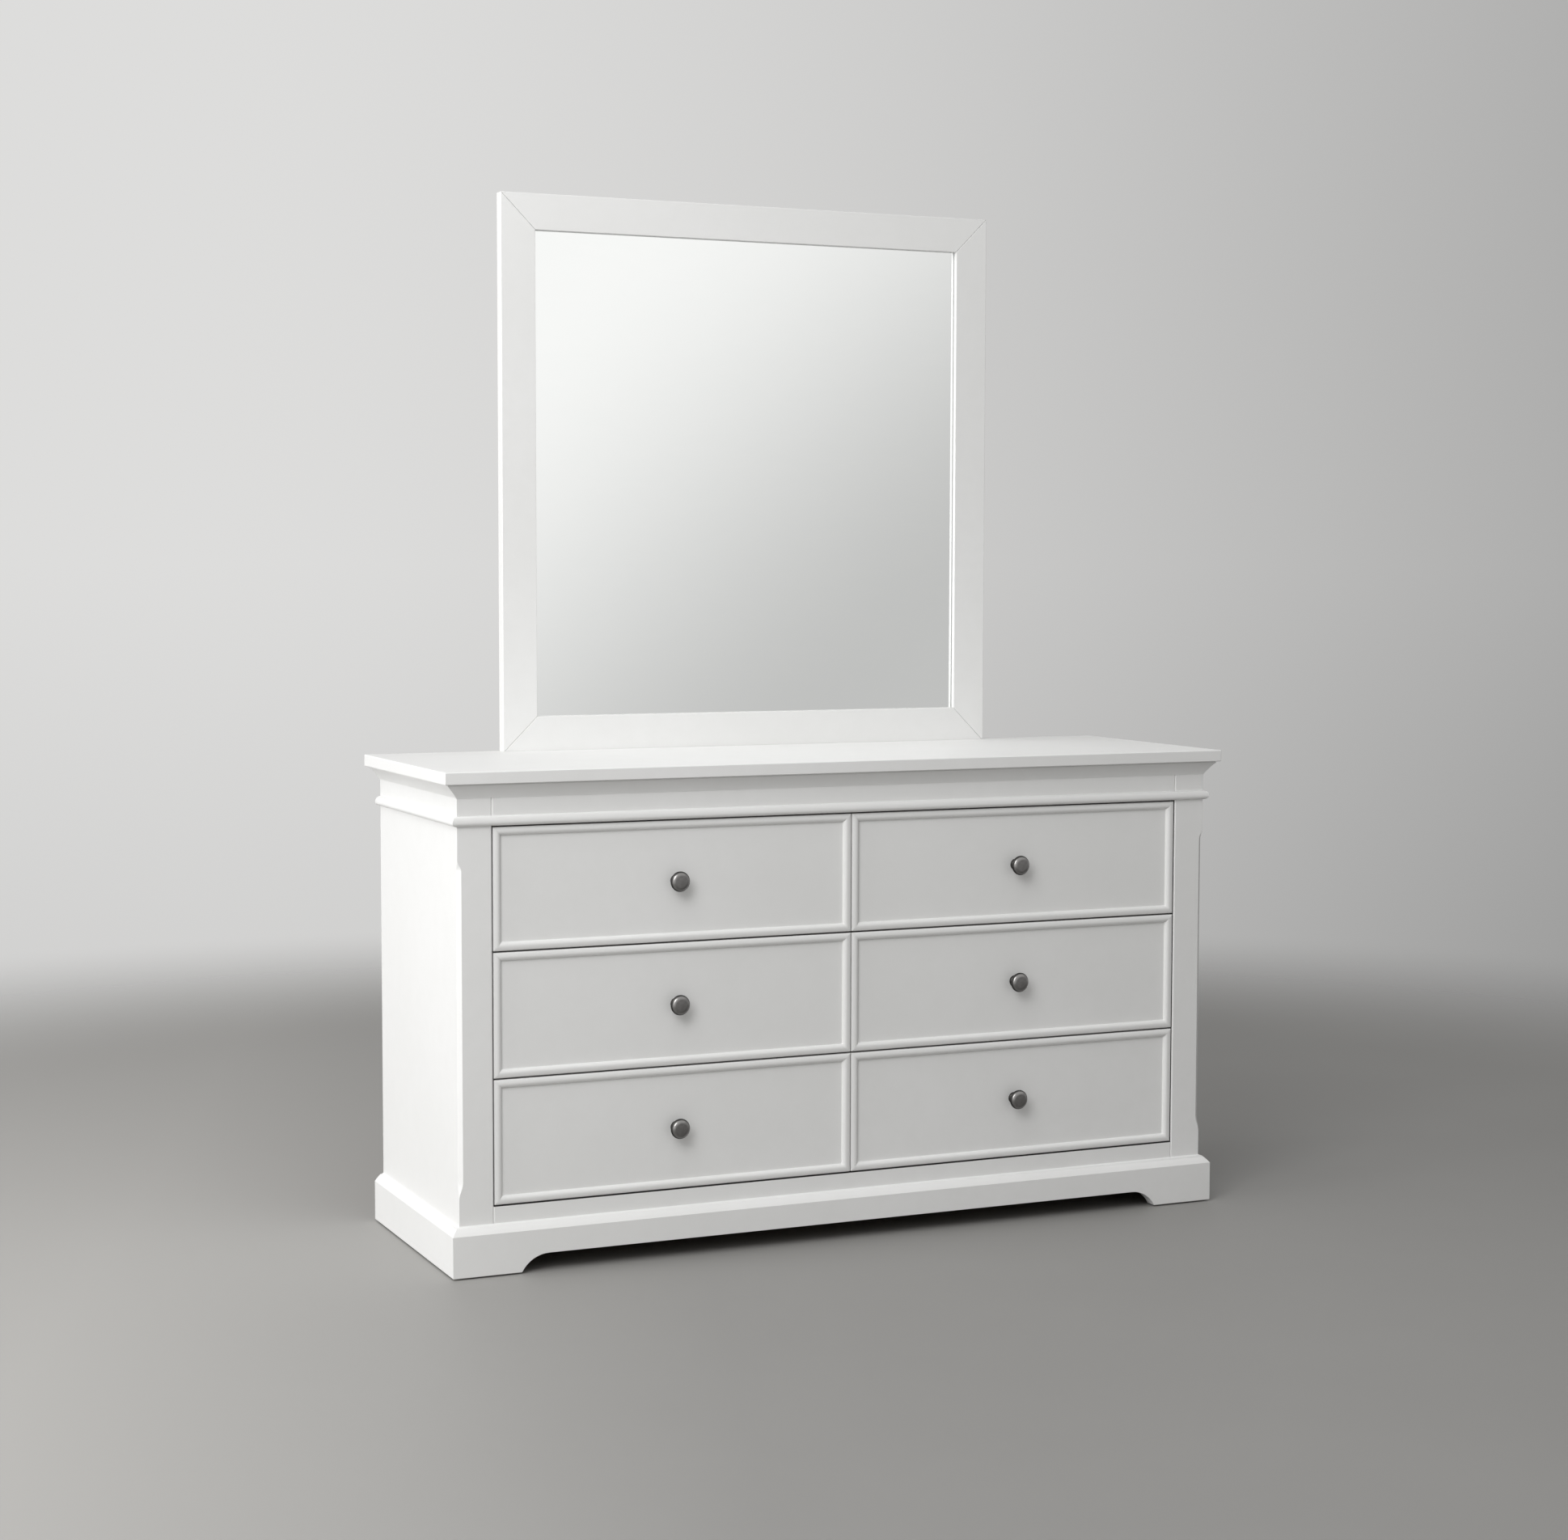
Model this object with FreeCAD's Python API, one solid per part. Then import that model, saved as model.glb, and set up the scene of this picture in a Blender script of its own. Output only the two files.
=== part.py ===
"""A dresser with six drawers and a framed mirror standing on its top, in painted wood.

Millimetres, +Z up. The front faces -Y and +X is on the right as one stands before it. The origin is on
the floor, in the middle of the whole object's footprint. While the pieces are made, y = 0 is the front
face of the front posts; the last step shifts everything to the origin.
"""
import FreeCAD
import Part
import math
import os

# ---------------------------------------------------------------- cabinet, overall
top_width = 1500.0
top_thickness = 21.0
top_arris = 1.2
side_overhang = 26.5
front_overhang = 20.5
back_overhang = 9.5
carcass_depth = 456.0

# ---------------------------------------------------------------- front, from the floor up
glide_height = 2.5
plinth_height = 87.0
bottom_rail_face = 28.0
drawer_front_heights = {"bottom": 212.5, "middle": 212.5, "top": 209.0}
front_gap = 2.0
bead_height = 17.0
frieze_face = 30.0
crown_height = 24.0
post_width = 60.5

# ---------------------------------------------------------------- mouldings
crown_front_projection = 14.0
crown_side_projection = 19.5
crown_lip = 2.0
crown_hollow = 0.8
bead_front_projection = 7.0
bead_side_projection = 9.5
bead_nose = 0.38
plinth_projection = 16.0
plinth_face_height = 73.0
plinth_seat = 8.0
plinth_shoulder = 5.2
plinth_shoulder_drop = 2.0
plinth_roundness = 0.5
plinth_hollow = 0.6
plinth_foot_arris = 1.0
plinth_ledge = 55.0
foot_length = 119.0
foot_curve_length = 50.0
foot_curve_height = 32.0
stopped_chamfer = 7.0
chamfer_start = 160.0
chamfer_stop = 684.0
chamfer_run_bottom = 28.0
chamfer_run_top = 16.0
joint_groove = 1.8

# ---------------------------------------------------------------- boards of the carcass
side_thickness = 18.0
partition_thickness = 18.0
back_thickness = 6.0
back_rebate = 9.0
panel_clearance = 0.3
web_thickness = 20.0
web_front_width = 40.0
web_back_width = 20.0
plinth_back_thickness = 20.0
outer_runner_width = 70.0
inner_runner_width = 35.0
guide_width = 30.0
guide_height = 15.0
guide_start = 6.0
glue_block = 40.0
glide_width = 30.0
top_block = 22.0
top_block_length = 70.0
top_block_places = (0.25, 0.75)

# ---------------------------------------------------------------- drawers
slab_thickness = 18.0
panel_bead_width = 14.5
panel_bead_height = 6.0
panel_bead_step = 1.6
stop_gap = 0.3
runner_cover = 8.0
kicker_cover = 9.0
running_gap = 0.3
side_clearance = 0.8
box_headroom = 6.0
box_side_thickness = 12.0
box_front_thickness = 14.0
box_back_thickness = 12.0
box_back_space = 10.0
bottom_thickness = 5.0
bottom_lift = 10.0
groove_depth = 6.0
groove_clearance = 0.2
dovetail_pitch = 60.0
dovetail_share = 0.34
dovetail_slope = 1.0 / 7.0
dovetail_play = 0.05
stop_thickness = 6.0
stop_width = 16.0
stop_height = 34.0
stop_bite = 8.0
stop_clearance = 0.5

# ---------------------------------------------------------------- knobs
knob_head = 34.0
knob_shank = 22.0
knob_projection = 26.0
knob_head_depth = 7.0
knob_chamfer = 1.6

# ---------------------------------------------------------------- mirror
mirror_width = 990.0
mirror_height = 1013.0
mirror_thickness = 24.0
mirror_frame_width = 65.0
mirror_reveal = 11.0
mirror_rebate = 8.0
mirror_housing = 2.0
housing_clearance = 0.8
mirror_edge_clearance = 1.0
glass_thickness = 4.0
backboard_thickness = 4.0
support_width = 50.0
support_thickness = 18.0
support_rise = 560.0
support_drop = 30.0
support_bevel = 6.0
notch_clearance = 1.0
backboard_fillet = 5.0

# ---------------------------------------------------------------- worked out from the sizes above
ROWS = ("bottom", "middle", "top")
COLUMNS = ("left", "right")
top_half = top_width / 2
carcass_half = top_half - side_overhang
opening_half = carcass_half - post_width
side_inner = carcass_half - side_thickness
partition_half = partition_thickness / 2
frame_back = panel_bead_height + slab_thickness + stop_gap
panel_front = carcass_depth - back_thickness
web_back = panel_front - web_back_width
top_back = carcass_depth + back_overhang

opening_bottom = plinth_height + bottom_rail_face
front_z = {}
stack = opening_bottom
for row in ROWS:
    front_z[row] = (stack + front_gap, stack + front_gap + drawer_front_heights[row])
    stack = front_z[row][1]
opening_top = stack + front_gap
frieze_bottom = opening_top
bead_top = opening_top + bead_height
crown_bottom = bead_top + frieze_face
top_underside = crown_bottom + crown_height
top_surface = top_underside + top_thickness

runner_top = {row: front_z[row][0] + runner_cover for row in ROWS}
kicker_bottom = front_z["top"][1] - kicker_cover
web_bottoms = [runner_top[row] - web_thickness for row in ROWS] + [kicker_bottom]
ceiling = {"bottom": web_bottoms[1], "middle": web_bottoms[2], "top": kicker_bottom}
front_inner = front_gap / 2
front_outer = opening_half - front_gap
box_inner = partition_half + side_clearance
box_outer = front_outer - (box_inner - front_inner)
box_front = panel_bead_height + slab_thickness
box_back = web_back - box_back_space
stop_front = box_back - box_back_thickness - stop_thickness
drawer_travel = stop_front - (frame_back + web_front_width) - stop_clearance

mirror_half = mirror_width / 2
mirror_back = top_back
mirror_front = mirror_back - mirror_thickness
mirror_bottom = top_surface - mirror_housing
mirror_top = mirror_bottom + mirror_height
support_x = mirror_half - mirror_frame_width / 2
support_bottom = web_bottoms[2] - support_drop
support_top = top_surface + support_rise
support_back = mirror_back + support_thickness

knob_face = panel_bead_height - knob_projection
middle_y = (min(knob_face, -front_overhang) + support_back) / 2
FORWARD = FreeCAD.Vector(0, -1, 0)


# ---------------------------------------------------------------- shapes that repeat
def vec(x, y, z):
    return FreeCAD.Vector(x, y, z)


def block(x, y, z):
    """A board given by its low and high limit along each axis."""
    return Part.makeBox(x[1] - x[0], y[1] - y[0], z[1] - z[0], vec(x[0], y[0], z[0]))


def centred(middle, width):
    """The limits of a width laid out equally either side of its middle."""
    return middle - width / 2, middle + width / 2


def section(start, steps, place):
    """A closed face: steps are end points of lines, or (point on the arc, end point) of arcs."""
    edges = []
    here = place(*start)
    for step in steps:
        if isinstance(step[0], tuple):
            there = place(*step[1])
            edges.append(Part.Arc(here, place(*step[0]), there).toShape())
        else:
            there = place(*step)
            edges.append(Part.makeLine(here, there))
        here = there
    edges.append(Part.makeLine(here, place(*start)))
    return Part.Face(Part.Wire(edges))


def prism(points, along):
    """A polygon of points drawn out along a vector."""
    return Part.Face(Part.makePolygon(points + [points[0]])).extrude(along)


def solid(shape):
    """The single solid of a result, with the seams of the cutting removed."""
    return shape.removeSplitter().Solids[0]


def bowed(start, end, bow):
    """The middle of an arc from start to end that stands off their straight line by bow, to its left."""
    run = end[0] - start[0]
    rise = end[1] - start[1]
    share = bow / math.hypot(run, rise)
    return (start[0] + end[0]) / 2 - rise * share, (start[1] + end[1]) / 2 + run * share


def level_middle(low, crest):
    """The middle of an arc that leaves the point low and arrives level at the point crest."""
    run = crest[0] - low[0]
    rise = crest[1] - low[1]
    radius = (run ** 2 + rise ** 2) / (2 * rise)
    half_turn = math.atan2(abs(run), radius - rise) / 2
    back = math.copysign(radius * math.sin(half_turn), run)
    return crest[0] - back, crest[1] - radius * (1 - math.cos(half_turn))


def upright_middle(low, crest):
    """The middle of an arc that leaves the point low and arrives upright at the point crest."""
    middle = level_middle((low[1], low[0]), (crest[1], crest[0]))
    return middle[1], middle[0]


def mirrored(shape):
    """The same piece on the other side of the middle plane x = 0."""
    return shape.mirror(vec(0, 0, 0), vec(1, 0, 0))


def both_sides(shape):
    """The pair of pieces that stand right and left of the middle."""
    return [shape, mirrored(shape)]


# ---------------------------------------------------------------- mouldings round front and sides
def crown_section(place, projection):
    """A shallow cove under the top: its foot meets the posts and its lip meets the top board."""
    foot = (0, crown_bottom)
    lip = (projection, top_underside - crown_lip)
    steps = [(bowed(foot, lip, crown_hollow), lip), (projection, top_underside), (0, top_underside)]
    return section(foot, steps, place)


def bead_section(place, projection):
    """A rounded nosing, fuller above than below, that runs level with the top of the drawers."""
    low = (0, opening_top)
    nose = (projection, opening_top + bead_height * bead_nose)
    high = (0, bead_top)
    steps = [(upright_middle(low, nose), nose), (upright_middle(high, nose), high)]
    return section(low, steps, place)


def plinth_section(place, projection):
    """A skirting with a slightly rounded weathering on top and a ledge behind that the carcass sits on."""
    face = (projection, plinth_face_height)
    shoulder = (plinth_shoulder, plinth_height - plinth_shoulder_drop)
    crest = (0, plinth_height)
    underside = (projection - plinth_foot_arris, glide_height)
    arris = (projection, glide_height + plinth_foot_arris)
    steps = [underside, arris, face]
    steps += [(bowed(face, shoulder, -plinth_roundness), shoulder)]
    steps += [(bowed(shoulder, crest, plinth_hollow), crest), (0, plinth_ledge), (-plinth_seat, plinth_ledge)]
    return section((-plinth_seat, glide_height), steps, place)


def wrapped_moulding(cross_section, front_out, side_out, low, high):
    """Front, left and right lengths of a moulding, mitred where they meet at the front corners."""
    reach = 3
    out = (carcass_half + reach * side_out, -reach * front_out)
    inside = (carcass_half - reach * side_out, reach * front_out)
    rise = vec(0, 0, high - low)
    front_plan = [(-out[0], out[1]), out, inside, (-inside[0], inside[1])]
    side_plan = [out, (out[0], carcass_depth), (inside[0], carcass_depth), inside]

    front_face = cross_section(lambda u, z: vec(-out[0], -u, z), front_out)
    front = front_face.extrude(vec(2 * out[0], 0, 0))
    front = front.common(prism([vec(x, y, low) for x, y in front_plan], rise))
    side_face = cross_section(lambda u, z: vec(carcass_half + u, out[1], z), side_out)
    side = side_face.extrude(vec(0, carcass_depth - out[1], 0))
    side = side.common(prism([vec(x, y, low) for x, y in side_plan], rise))
    return solid(front), solid(side)


def frame_lengths(x, z, width, cross_section):
    """Four lengths mitred round a rectangle; the section is drawn in (distance inwards, y)."""
    wide = x[1] - x[0]
    tall = z[1] - z[0]
    rise = vec(0, 0, tall)
    run = vec(wide, 0, 0)
    pieces = {
        "left": cross_section(lambda u, y: vec(x[0] + u, y, z[0])).extrude(rise),
        "right": cross_section(lambda u, y: vec(x[1] - u, y, z[0])).extrude(rise),
        "bottom": cross_section(lambda u, y: vec(x[0], y, z[0] + u)).extrude(run),
        "top": cross_section(lambda u, y: vec(x[0], y, z[1] - u)).extrude(run),
    }
    outer = {"bl": (x[0], z[0]), "br": (x[1], z[0]), "tr": (x[1], z[1]), "tl": (x[0], z[1])}
    inner = {
        "bl": (x[0] + width, z[0] + width),
        "br": (x[1] - width, z[0] + width),
        "tr": (x[1] - width, z[1] - width),
        "tl": (x[0] + width, z[1] - width),
    }
    corners = {"left": ("bl", "tl"), "right": ("br", "tr"), "bottom": ("bl", "br"), "top": ("tl", "tr")}
    for name, (first, second) in corners.items():
        box = pieces[name].BoundBox
        plan = [outer[first], outer[second], inner[second], inner[first]]
        mitre = prism([vec(px, box.YMin, pz) for px, pz in plan], vec(0, box.YLength, 0))
        pieces[name] = solid(pieces[name].common(mitre))
    return pieces


# ---------------------------------------------------------------- carcass
def top_board():
    """The top, its arrises planed off, with a shallow housing behind that the mirror's foot stands in."""
    board = block((-top_half, top_half), (-front_overhang, top_back), (top_underside, top_surface))
    board = board.makeChamfer(top_arris, board.Edges)
    half = mirror_half + housing_clearance
    along = (mirror_front - housing_clearance, top_back)
    housing = block((-half, half), along, (mirror_bottom, top_surface))
    return solid(board.cut(housing))


def stopped_chamfer_tool():
    """What is planed off a post's outer edge: a flat bevel that curves out at both ends."""
    depth = stopped_chamfer / math.sqrt(2)
    low = chamfer_start - chamfer_run_bottom
    high = chamfer_stop + chamfer_run_top
    outside = depth
    slack = math.sin(math.pi / 4) * 0.5

    def tongue(start, end, start_depth, end_depth):
        middle = (start + end) / 2
        half = (start_depth + end_depth) / 2
        first = (start_depth + (half - start_depth) * slack, (start + middle) / 2)
        second = (end_depth + (half - end_depth) * slack, (middle + end) / 2)
        return [(first, (half, middle)), (second, (end_depth, end))]

    diagonal = 1 / math.sqrt(2)
    corner = (carcass_half, 0)
    back = vec(-1, -1, 0) * stopped_chamfer

    def place(d, z):
        return vec(corner[0] - d * diagonal, corner[1] + d * diagonal, z) - back

    steps = tongue(low, chamfer_start, 0, depth)
    steps += [(depth, chamfer_stop)]
    steps += tongue(chamfer_stop, high, depth, 0)
    steps += [(-outside, high), (-outside, low)]
    return section((0, low), steps, place).extrude(back * 2)


def front_post():
    post = block((opening_half, carcass_half), (0, frame_back), (plinth_ledge, top_underside))
    post = post.cut(stopped_chamfer_tool())
    return solid(post.cut(end_groove(opening_half, plinth_ledge, top_underside)))


def end_groove(x, low, high):
    """The small V planed along the joint between a post and a rail, half of it in each piece."""
    points = [vec(x - joint_groove, 0, low), vec(x, joint_groove, low), vec(x + joint_groove, 0, low)]
    return prism(points, vec(0, 0, high - low))


def front_rail(low, high):
    rail = block((-opening_half, opening_half), (0, frame_back), (low, high))
    for groove in both_sides(end_groove(opening_half, low, high)):
        rail = rail.cut(groove)
    return solid(rail)


def side_panel():
    panel = block((side_inner, carcass_half), (frame_back, carcass_depth), (plinth_ledge, top_underside))
    rebate = block((side_inner, side_inner + back_rebate), (panel_front, carcass_depth),
                   (plinth_ledge, top_underside))
    return solid(panel.cut(rebate))


def centre_partition():
    height = (plinth_ledge, top_underside)
    return block(centred(0, partition_thickness), (frame_back, panel_front), height)


def back_panel():
    half = side_inner + back_rebate - panel_clearance
    return block((-half, half), (panel_front, carcass_depth), (plinth_ledge, top_underside))


def back_rails():
    """Rails behind the drawers, above the kickers and below the bottom frame, one per column."""
    across = (partition_half, side_inner)
    along = (web_back, panel_front)
    upper = block(across, along, (kicker_bottom + web_thickness, top_underside))
    lower = block(across, along, (plinth_ledge, web_bottoms[0]))
    return both_sides(upper) + both_sides(lower)


def web_rails():
    """Front and back rails of the frames that carry the drawers."""
    rails = []
    for low in web_bottoms:
        height = (low, low + web_thickness)
        across = (partition_half, side_inner)
        rails += both_sides(block(across, (frame_back, frame_back + web_front_width), height))
        rails += both_sides(block(across, (web_back, panel_front), height))
    return rails


def drawer_runners():
    """Lengths from front to back that the drawer sides slide on, or are kept down by, at the top."""
    runners = []
    along = (frame_back + web_front_width, web_back)
    for low in web_bottoms:
        height = (low, low + web_thickness)
        runners += both_sides(block((side_inner - outer_runner_width, side_inner), along, height))
        runners += both_sides(block((partition_half, partition_half + inner_runner_width), along, height))
    return runners


def drawer_guides():
    """Strips on the outer runners that keep the drawers straight."""
    guides = []
    inner = box_outer + side_clearance
    along = (frame_back + guide_start, web_back)
    for row in ROWS:
        height = (runner_top[row], runner_top[row] + guide_height)
        guides += both_sides(block((inner, inner + guide_width), along, height))
    return guides


def plinth():
    front, right = wrapped_moulding(plinth_section, plinth_projection, plinth_projection,
                                    glide_height, plinth_height)
    foot_end = carcass_half + plinth_projection - foot_length
    curve_end = foot_end - foot_curve_length
    belly = level_middle((foot_end, 0), (curve_end, foot_curve_height))
    steps = [((-belly[0], belly[1]), (-curve_end, foot_curve_height)), (curve_end, foot_curve_height)]
    steps += [(belly, (foot_end, 0))]
    cut_out = section((-foot_end, 0), steps, lambda x, z: vec(x, -plinth_projection, z))
    front = front.cut(cut_out.extrude(vec(0, plinth_projection + plinth_seat, 0)))
    return solid(front), right


def plinth_back():
    half = carcass_half - plinth_seat
    height = (glide_height, plinth_ledge)
    return block((-half, half), (carcass_depth - plinth_back_thickness, carcass_depth), height)


def glue_blocks():
    """Blocks in the plinth's corners, and under the top along its front and its sides."""
    corner_x = (carcass_half - plinth_seat - glue_block, carcass_half - plinth_seat)
    front_y = (plinth_seat, plinth_seat + glue_block)
    rear = carcass_depth - plinth_back_thickness
    height = (glide_height, plinth_ledge)
    blocks = both_sides(block(corner_x, front_y, height))
    blocks += both_sides(block(corner_x, (rear - glue_block, rear), height))
    height = (top_underside - top_block, top_underside)
    for share in top_block_places:
        along_front = centred(share * side_inner, top_block_length)
        along_side = centred(frame_back + share * (web_back - frame_back), top_block_length)
        blocks += both_sides(block(along_front, (frame_back, frame_back + top_block), height))
        blocks += both_sides(block((side_inner - top_block, side_inner), along_side, height))
    return blocks


def floor_glides():
    """Pads under the corner blocks, on which the plinth stands just clear of the floor."""
    along_x = centred(carcass_half - plinth_seat - glue_block / 2, glide_width)
    first = plinth_seat + glue_block / 2
    last = carcass_depth - plinth_back_thickness - glue_block / 2
    glides = []
    for middle in (first, last):
        glides += both_sides(block(along_x, centred(middle, glide_width), (0, glide_height)))
    return glides


# ---------------------------------------------------------------- drawers
def panel_bead_section(place):
    """A half-round, square on its outer side, that dies into the panel on its inner side."""
    edge = (0, panel_bead_height - panel_bead_step)
    crest = (panel_bead_width / 2, panel_bead_height)
    foot = (panel_bead_width, 0)
    steps = [edge, (level_middle(edge, crest), crest), (level_middle(foot, crest), foot)]
    return section((0, 0), steps, lambda u, d: place(u, panel_bead_height - d))


def tails(x, low, high, root, end, play):
    """The dovetail tails at one end of a drawer side, wider at the end than at the root."""
    count = max(2, round((high - low) / dovetail_pitch))
    pitch = (high - low) / count
    shapes = []
    for index in range(count):
        middle = low + (index + 0.5) * pitch
        wide = pitch * dovetail_share - play
        narrow = wide - abs(end - root) * dovetail_slope
        points = [(root, middle - narrow), (end, middle - wide)]
        points += [(end, middle + wide), (root, middle + narrow)]
        shapes.append(prism([vec(x[0], py, pz) for py, pz in points], vec(x[1] - x[0], 0, 0)))
    return Part.makeCompound(shapes)


def drawer_box(row):
    """Dovetailed sides, front and back with the stop that limits the pull, and a bottom in grooves."""
    low = runner_top[row] + running_gap
    high = ceiling[row] - box_headroom
    floor_low = low + bottom_lift
    floor_high = floor_low + bottom_thickness
    front_root = box_front + box_front_thickness
    back_root = box_back - box_back_thickness
    edges = [(box_inner, box_inner + box_side_thickness), (box_outer - box_side_thickness, box_outer)]
    joints = [(low, high, front_root, box_front), (floor_high, high, back_root, box_back)]

    front = block((box_inner, box_outer), (box_front, front_root), (low, high))
    back = block((box_inner, box_outer), (back_root, box_back), (floor_high, high))
    sides = []
    for x in edges:
        side = block(x, (box_front, box_back), (low, high))
        for bottom, top, root, end in joints:
            region = block(x, (min(root, end), max(root, end)), (bottom, top))
            side = side.cut(region.cut(tails(x, bottom, top, root, end, dovetail_play)))
        front = front.cut(tails(x, *joints[0], 0.0))
        back = back.cut(tails(x, *joints[1], 0.0))
        sides.append(side)

    inside = (edges[0][1] - groove_depth, edges[1][0] + groove_depth)
    panel_x = (inside[0] + groove_clearance, inside[1] - groove_clearance)
    along = front_root - groove_depth
    groove = block(inside, (along, box_back), (floor_low, floor_high))
    bottom = block(panel_x, (along + groove_clearance, box_back), (floor_low, floor_high))
    stop_top = ceiling[row] + stop_bite
    across = centred((box_inner + box_outer) / 2, stop_width)
    stop = block(across, (stop_front, stop_front + stop_thickness), (stop_top - stop_height, stop_top))
    sides = [solid(side.cut(groove)) for side in sides]
    return {"box": sides + [solid(front.cut(groove)), solid(back), stop], "bottom": [bottom]}


def knob_at(x, z):
    """A turned knob: a stout round shank and a broad flat head with a chamfered rim."""
    shank = knob_shank / 2
    head = knob_head / 2
    under = knob_projection - knob_head_depth
    steps = [
        (shank, 0),
        (shank, under),
        (head, under),
        (head, knob_projection - knob_chamfer),
        (head - knob_chamfer, knob_projection),
        (0, knob_projection),
    ]
    face = section((0, 0), steps, lambda r, d: vec(x + r, panel_bead_height - d, z))
    return face.revolve(vec(x, 0, z), FORWARD, 360)


def drawer(row):
    """The right-hand drawer of a row, as named pieces."""
    low, high = front_z[row]
    bead = frame_lengths((front_inner, front_outer), (low, high), panel_bead_width, panel_bead_section)
    pieces = drawer_box(row)
    pieces["front"] = [block((front_inner, front_outer), (panel_bead_height, box_front), (low, high))]
    pieces["bead"] = list(bead.values())
    pieces["knob"] = [knob_at((front_inner + front_outer) / 2, (low + high) / 2)]
    return pieces


# ---------------------------------------------------------------- mirror
def mirror_section(place):
    """A flat frame member with a rebate behind for the glass."""
    lip = mirror_frame_width - mirror_rebate
    seat = mirror_front + mirror_reveal
    steps = [(mirror_frame_width, mirror_front), (mirror_frame_width, seat), (lip, seat)]
    steps += [(lip, mirror_back), (0, mirror_back)]
    return section((0, mirror_front), steps, place)


def mirror_sheet(start, thickness):
    """A sheet that lies in the frame's rebate."""
    inset = mirror_frame_width - mirror_rebate + mirror_edge_clearance
    x = mirror_half - inset
    return block((-x, x), (start, start + thickness), (mirror_bottom + inset, mirror_top - inset))


def backboard_fillets():
    """Four mitred strips that hold the backboard against the glass."""
    inset = mirror_frame_width - mirror_rebate
    start = mirror_front + mirror_reveal + glass_thickness + backboard_thickness
    x = (inset - mirror_half, mirror_half - inset)
    z = (mirror_bottom + inset, mirror_top - inset)

    def strip(place):
        steps = [(mirror_rebate, start), (mirror_rebate, start + backboard_fillet)]
        steps += [(0, start + backboard_fillet)]
        return section((0, start), steps, place)

    return list(frame_lengths(x, z, mirror_rebate, strip).values())


def mirror_support():
    """A batten behind the mirror's stile, notched round the top and seated on the carcass back."""
    shoulder = top_underside - notch_clearance
    outline = [
        (carcass_depth, support_bottom),
        (carcass_depth, shoulder),
        (mirror_back, shoulder),
        (mirror_back, support_top),
        (support_back - support_bevel, support_top),
        (support_back, support_top - support_bevel),
        (support_back, support_bottom + support_bevel),
        (support_back - support_bevel, support_bottom),
    ]
    left = support_x - support_width / 2
    return prism([vec(left, y, z) for y, z in outline], vec(support_width, 0, 0))


# ---------------------------------------------------------------- the whole object
def build():
    crown = wrapped_moulding(crown_section, crown_front_projection, crown_side_projection,
                             crown_bottom, top_underside)
    bead = wrapped_moulding(bead_section, bead_front_projection, bead_side_projection,
                            opening_top, bead_top)
    plinth_front, plinth_right = plinth()
    post = front_post()
    panel = side_panel()
    frame = frame_lengths((-mirror_half, mirror_half), (mirror_bottom, mirror_top), mirror_frame_width,
                          mirror_section)
    glass_front = mirror_front + mirror_reveal
    nodes = {
        "top_board": [top_board()],
        "crown_moulding": [crown[0]] + both_sides(crown[1]),
        "bead_moulding": [bead[0]] + both_sides(bead[1]),
        "frieze_rail": [front_rail(frieze_bottom, top_underside)],
        "bottom_rail": [front_rail(plinth_ledge, opening_bottom)],
        "front_post_left": [mirrored(post)],
        "front_post_right": [post],
        "side_panel_left": [mirrored(panel)],
        "side_panel_right": [panel],
        "centre_partition": [centre_partition()],
        "back_panel": [back_panel()],
        "back_rails": back_rails(),
        "web_rails": web_rails(),
        "drawer_runners": drawer_runners(),
        "drawer_guides": drawer_guides(),
        "plinth_front": [plinth_front],
        "plinth_left": [mirrored(plinth_right)],
        "plinth_right": [plinth_right],
        "plinth_back": [plinth_back()],
        "glue_blocks": glue_blocks(),
        "floor_glides": floor_glides(),
        "mirror_stile_left": [frame["left"]],
        "mirror_stile_right": [frame["right"]],
        "mirror_rail_top": [frame["top"]],
        "mirror_rail_bottom": [frame["bottom"]],
        "mirror_glass": [mirror_sheet(glass_front, glass_thickness)],
        "mirror_backboard": [mirror_sheet(glass_front + glass_thickness, backboard_thickness)],
        "backboard_fillets": backboard_fillets(),
        "mirror_supports": both_sides(mirror_support()),
    }
    for row in ROWS:
        for name, shapes in drawer(row).items():
            nodes["drawer_%s_right_%s" % (row, name)] = shapes
            nodes["drawer_%s_left_%s" % (row, name)] = [mirrored(shape) for shape in shapes]
    return nodes


def export(nodes):
    os.makedirs("parts", exist_ok=True)
    for name, shapes in nodes.items():
        shape = shapes[0] if len(shapes) == 1 else Part.makeCompound(shapes)
        shape.translate(vec(0, -middle_y, 0))
        shape.exportStep(os.path.join("parts", name + ".step"))


print("Each drawer pulls out %.1f mm to its stop." % drawer_travel)
export(build())
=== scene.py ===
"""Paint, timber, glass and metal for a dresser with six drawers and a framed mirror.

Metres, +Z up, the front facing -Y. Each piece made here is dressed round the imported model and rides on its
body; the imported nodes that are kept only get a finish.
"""
import math
import random
from contextlib import contextmanager

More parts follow.
